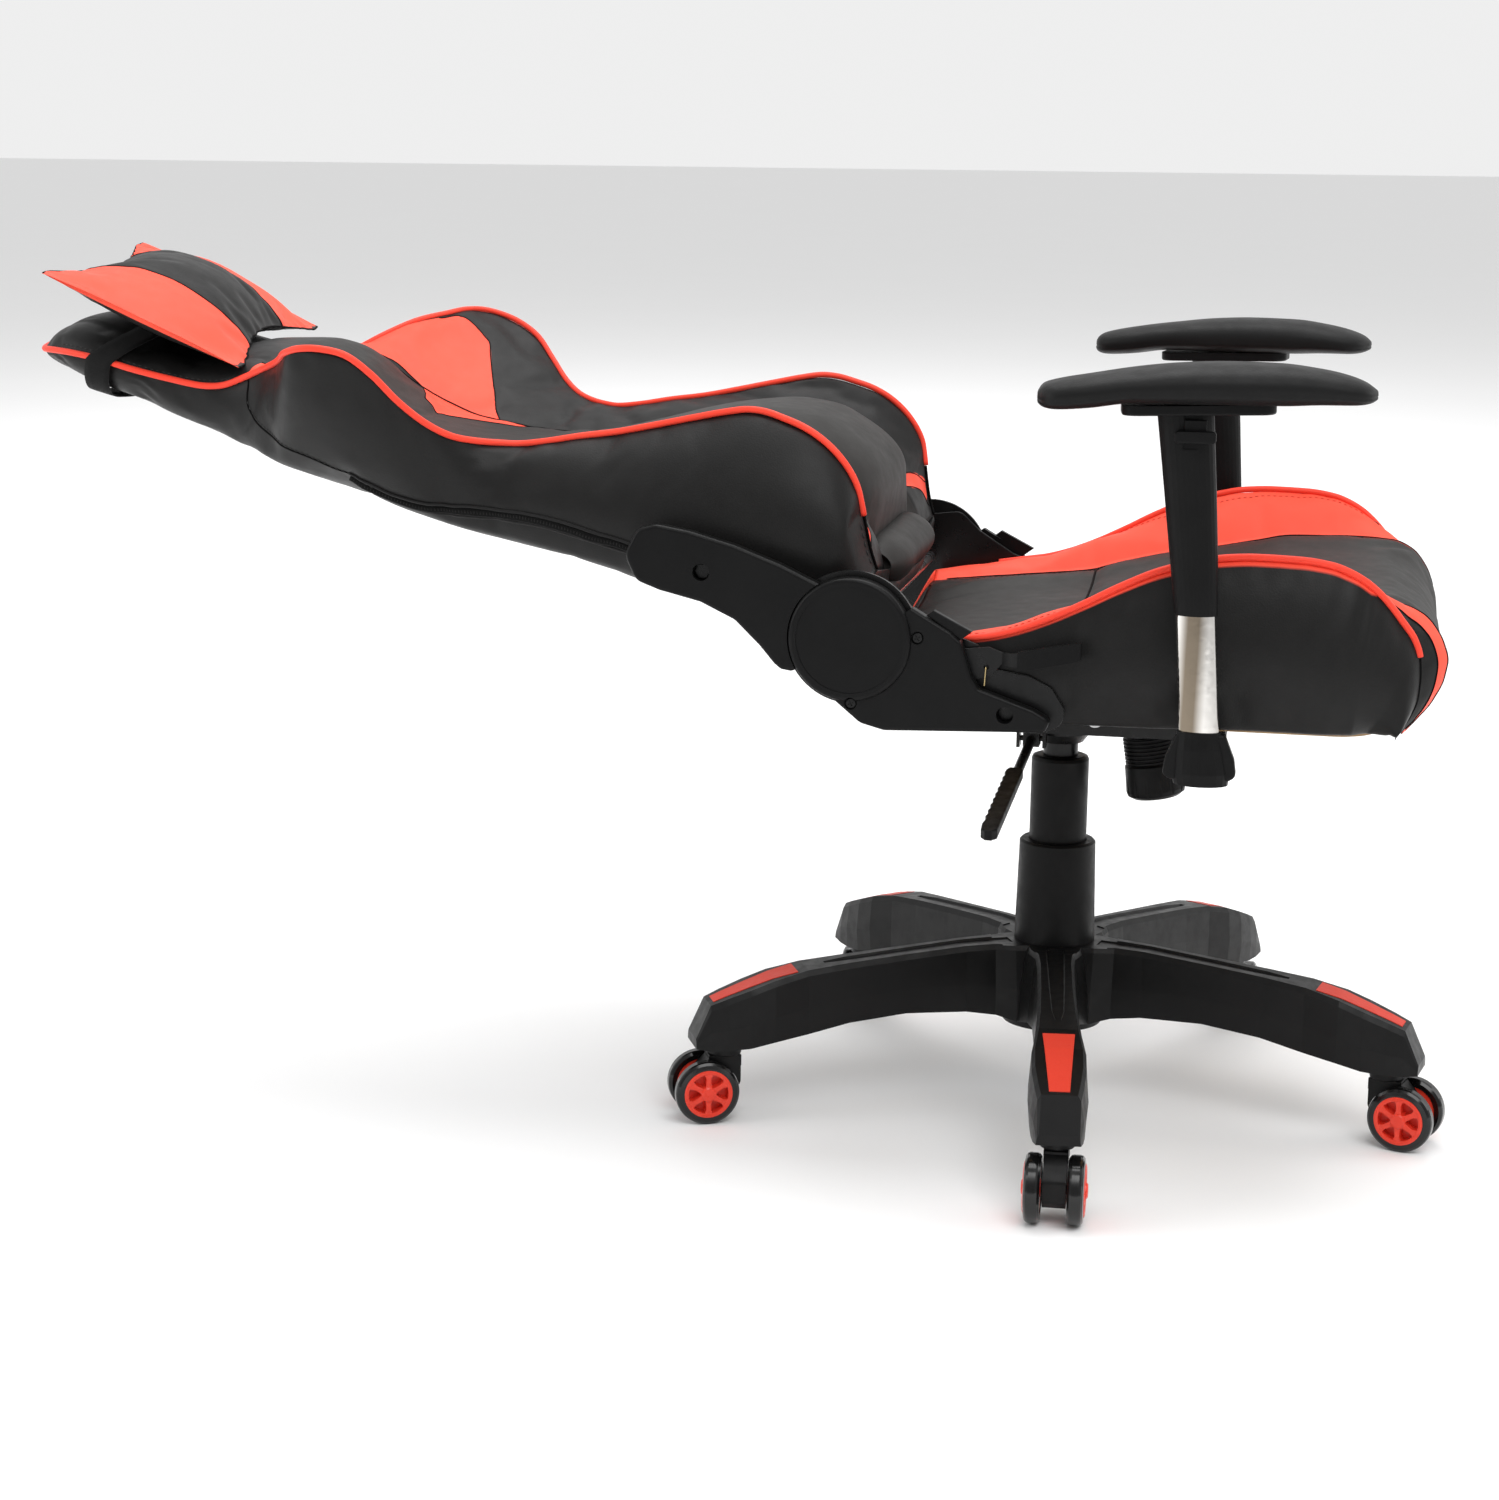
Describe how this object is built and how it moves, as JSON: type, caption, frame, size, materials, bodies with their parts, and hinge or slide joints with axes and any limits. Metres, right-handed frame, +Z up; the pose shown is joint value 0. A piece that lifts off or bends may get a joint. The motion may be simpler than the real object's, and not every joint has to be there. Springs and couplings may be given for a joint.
{
  "type": "reclining gaming chair",
  "caption": "Swivel desk chair with bucket seat, winged backrest that reclines flat, strapped head pillow, height-adjustable arms, gas lift, and star base on casters.",
  "frame": {"origin": "on the floor under the centre line of the gas lift", "axes": "+X is the way the seat faces, +Y is the sitter's left, +Z is up; stored with the backrest laid right back, gas lift down and armrests up"},
  "size_m": [1.3321, 0.7085, 0.7882],
  "materials": {
    "black_cover_plastic": "satin",
    "black_nylon": "satin",
    "black_red_pu": "satin",
    "black_steel": "satin",
    "bright_steel": "satin",
    "chrome_tube": "polished",
    "elastic_black": "matte",
    "guide_plastic": "matte",
    "pad_foam": "satin",
    "plywood": "matte",
    "red_black_pu": "satin",
    "red_inlay": "satin",
    "spring_steel": "satin",
    "wheel_black_red": "gloss"
  },
  "bodies": {
    "base": {"star_base": "black_nylon", "base_arm_inserts": "red_inlay", "gas_lift_outer_tube": "black_steel", "gas_lift_guide_bush": "guide_plastic", "thrust_bearing": "bright_steel", "column_cover_lower": "black_cover_plastic"},
    "spindle": {"gas_lift_piston_rod": "bright_steel"},
    "lift": {"gas_lift_cylinder": "bright_steel", "column_cover_upper": "black_cover_plastic", "tilt_mechanism_housing": "black_steel", "tilt_pivot_pin": "bright_steel", "tension_spring": "spring_steel"},
    "tension_knob": {"tension_knob": "black_cover_plastic"},
    "lever_sleeve": {"height_lever_sleeve": "black_steel"},
    "height_lever": {"height_lever_rod": "black_steel", "height_lever_grip": "black_cover_plastic"},
    "seat": {"tilt_top_plate": "black_steel", "seat_pan": "plywood", "seat_cushion": "black_red_pu", "seat_bolster_right": "black_red_pu", "seat_bolster_left": "black_red_pu", "armrest_posts": "chrome_tube", "armrest_shoes": "black_cover_plastic", "recliner_seat_plates": "black_steel", "recliner_seat_covers": "black_cover_plastic", "cover_screws": "black_steel", "recliner_lever_spring": "spring_steel"},
    "recliner_lever": {"recliner_lever": "black_steel"},
    "backrest": {"back_frame": "black_steel", "back_cushion": "black_red_pu", "back_wing_right": "black_red_pu", "back_wing_left": "black_red_pu", "recliner_back_plates": "black_steel", "recliner_back_covers": "black_cover_plastic", "recliner_cross_rod": "bright_steel"},
    "head_pillow": {"head_pillow": "red_black_pu", "head_pillow_strap": "elastic_black"},
    "arm_right": {"armrest_sleeve_right": "black_cover_plastic", "armrest_plate_right": "black_cover_plastic", "armrest_pad_right": "pad_foam"},
    "arm_left": {"armrest_sleeve_left": "black_cover_plastic", "armrest_plate_left": "black_cover_plastic", "armrest_pad_left": "pad_foam"},
    "trigger_right": {"armrest_trigger_right": "black_cover_plastic"},
    "trigger_left": {"armrest_trigger_left": "black_cover_plastic"},
    "caster_1": {"caster_fork_1": "black_nylon"},
    "wheel_1_left": {"caster_wheel_1_left": "wheel_black_red"},
    "wheel_1_right": {"caster_wheel_1_right": "wheel_black_red"},
    "caster_2": {"caster_fork_2": "black_nylon"},
    "wheel_2_left": {"caster_wheel_2_left": "wheel_black_red"},
    "wheel_2_right": {"caster_wheel_2_right": "wheel_black_red"},
    "caster_3": {"caster_fork_3": "black_nylon"},
    "wheel_3_left": {"caster_wheel_3_left": "wheel_black_red"},
    "wheel_3_right": {"caster_wheel_3_right": "wheel_black_red"},
    "caster_4": {"caster_fork_4": "black_nylon"},
    "wheel_4_left": {"caster_wheel_4_left": "wheel_black_red"},
    "wheel_4_right": {"caster_wheel_4_right": "wheel_black_red"},
    "caster_5": {"caster_fork_5": "black_nylon"},
    "wheel_5_left": {"caster_wheel_5_left": "wheel_black_red"},
    "wheel_5_right": {"caster_wheel_5_right": "wheel_black_red"}
  },
  "joints": [
    {"name": "seat_swivel", "type": "hinge", "parent": "base", "child": "spindle", "pos_m": [0, 0, 0.1], "axis": [0, 0, 1], "continuous": true},
    {"name": "seat_height", "type": "slide", "parent": "spindle", "child": "lift", "axis": [0, 0, 1], "range_m": [0, 0.08]},
    {"name": "seat_tilt", "type": "hinge", "parent": "lift", "child": "seat", "pos_m": [0.035, 0, 0.38], "axis": [0, -1, 0], "range_deg": [0, 12], "stiffness_Nm_per_rad": 160, "springref_deg": -34.38},
    {"name": "tension_knob_turn", "type": "hinge", "parent": "lift", "child": "tension_knob", "pos_m": [0.086, 0, 0.33], "axis": [-0.1564, 0, 0.9877], "range_deg": [-360, 360]},
    {"name": "height_lever_lift", "type": "hinge", "parent": "lift", "child": "lever_sleeve", "pos_m": [-0.024, -0.036, 0.3551], "axis": [-1, 0, 0], "range_deg": [0, 8], "stiffness_Nm_per_rad": 1.5, "springref_deg": -14.32},
    {"name": "height_lever_pull", "type": "slide", "parent": "lever_sleeve", "child": "height_lever", "axis": [-0.0143, -0.9966, -0.0811], "range_m": [0, 0.01]},
    {"name": "recline_handle", "type": "hinge", "parent": "seat", "child": "recliner_lever", "pos_m": [-0.08, -0.25, 0.466], "axis": [0, -1, 0], "range_deg": [0, 20], "stiffness_Nm_per_rad": 0.6, "springref_deg": -11.46},
    {"name": "backrest_recline", "type": "hinge", "parent": "seat", "child": "backrest", "pos_m": [-0.16, 0, 0.48], "axis": [0, 1, 0], "range_deg": [0, 75]},
    {"name": "head_pillow_slide", "type": "slide", "parent": "backrest", "child": "head_pillow", "axis": [-0.9659, 0, 0.2588], "range_m": [0, 0.03]},
    {"name": "arm_height_right", "type": "slide", "parent": "seat", "child": "arm_right", "axis": [-0.0698, 0, 0.9976], "range_m": [-0.07, 0]},
    {"name": "arm_height_left", "type": "slide", "parent": "seat", "child": "arm_left", "axis": [-0.0698, 0, 0.9976], "range_m": [-0.07, 0]},
    {"name": "arm_trigger_right", "type": "slide", "parent": "arm_right", "child": "trigger_right", "axis": [-0.0698, 0, 0.9976], "range_m": [0, 0.0035], "stiffness_N_per_m": 900, "springref_m": -0.003},
    {"name": "arm_trigger_left", "type": "slide", "parent": "arm_left", "child": "trigger_left", "axis": [-0.0698, 0, 0.9976], "range_m": [0, 0.0035], "stiffness_N_per_m": 900, "springref_m": -0.003},
    {"name": "caster_swivel_1", "type": "hinge", "parent": "base", "child": "caster_1", "pos_m": [0.03567, -0.31801, 0.08], "axis": [0, 0, 1], "continuous": true},
    {"name": "wheel_spin_1_left", "type": "hinge", "parent": "caster_1", "child": "wheel_1_left", "pos_m": [0.03637, -0.33799, 0.03], "axis": [0.9994, 0.0349, 0], "continuous": true},
    {"name": "wheel_spin_1_right", "type": "hinge", "parent": "caster_1", "child": "wheel_1_right", "pos_m": [0.03637, -0.33799, 0.03], "axis": [0.9994, 0.0349, 0], "continuous": true},
    {"name": "caster_swivel_2", "type": "hinge", "parent": "base", "child": "caster_2", "pos_m": [-0.29142, -0.13219, 0.08], "axis": [0, 0, 1], "continuous": true},
    {"name": "wheel_spin_2_left", "type": "hinge", "parent": "caster_2", "child": "wheel_2_left", "pos_m": [-0.30976, -0.14017, 0.03], "axis": [0.3987, -0.9171, 0], "continuous": true},
    {"name": "wheel_spin_2_right", "type": "hinge", "parent": "caster_2", "child": "wheel_2_right", "pos_m": [-0.30976, -0.14017, 0.03], "axis": [0.3987, -0.9171, 0], "continuous": true},
    {"name": "caster_swivel_3", "type": "hinge", "parent": "base", "child": "caster_3", "pos_m": [0.31346, -0.06434, 0.08], "axis": [0, 0, 1], "continuous": true},
    {"name": "wheel_spin_3_left", "type": "hinge", "parent": "caster_3", "child": "wheel_3_left", "pos_m": [0.33254, -0.07036, 0.03], "axis": [0.3007, 0.9537, 0], "continuous": true},
    {"name": "wheel_spin_3_right", "type": "hinge", "parent": "caster_3", "child": "wheel_3_right", "pos_m": [0.33254, -0.07036, 0.03], "axis": [0.3007, 0.9537, 0], "continuous": true},
    {"name": "caster_swivel_4", "type": "hinge", "parent": "base", "child": "caster_4", "pos_m": [0.15806, 0.27824, 0.08], "axis": [0, 0, 1], "continuous": true},
    {"name": "wheel_spin_4_left", "type": "hinge", "parent": "caster_4", "child": "wheel_4_left", "pos_m": [0.16015, 0.29813, 0.03], "axis": [-0.9945, 0.1045, 0], "continuous": true},
    {"name": "wheel_spin_4_right", "type": "hinge", "parent": "caster_4", "child": "wheel_4_right", "pos_m": [0.16015, 0.29813, 0.03], "axis": [-0.9945, 0.1045, 0], "continuous": true},
    {"name": "caster_swivel_5", "type": "hinge", "parent": "base", "child": "caster_5", "pos_m": [-0.21578, 0.23631, 0.08], "axis": [0, 0, 1], "continuous": true},
    {"name": "wheel_spin_5_left", "type": "hinge", "parent": "caster_5", "child": "wheel_5_left", "pos_m": [-0.21787, 0.2562, 0.03], "axis": [-0.9945, -0.1045, 0], "continuous": true},
    {"name": "wheel_spin_5_right", "type": "hinge", "parent": "caster_5", "child": "wheel_5_right", "pos_m": [-0.21787, 0.2562, 0.03], "axis": [-0.9945, -0.1045, 0], "continuous": true}
  ]
}
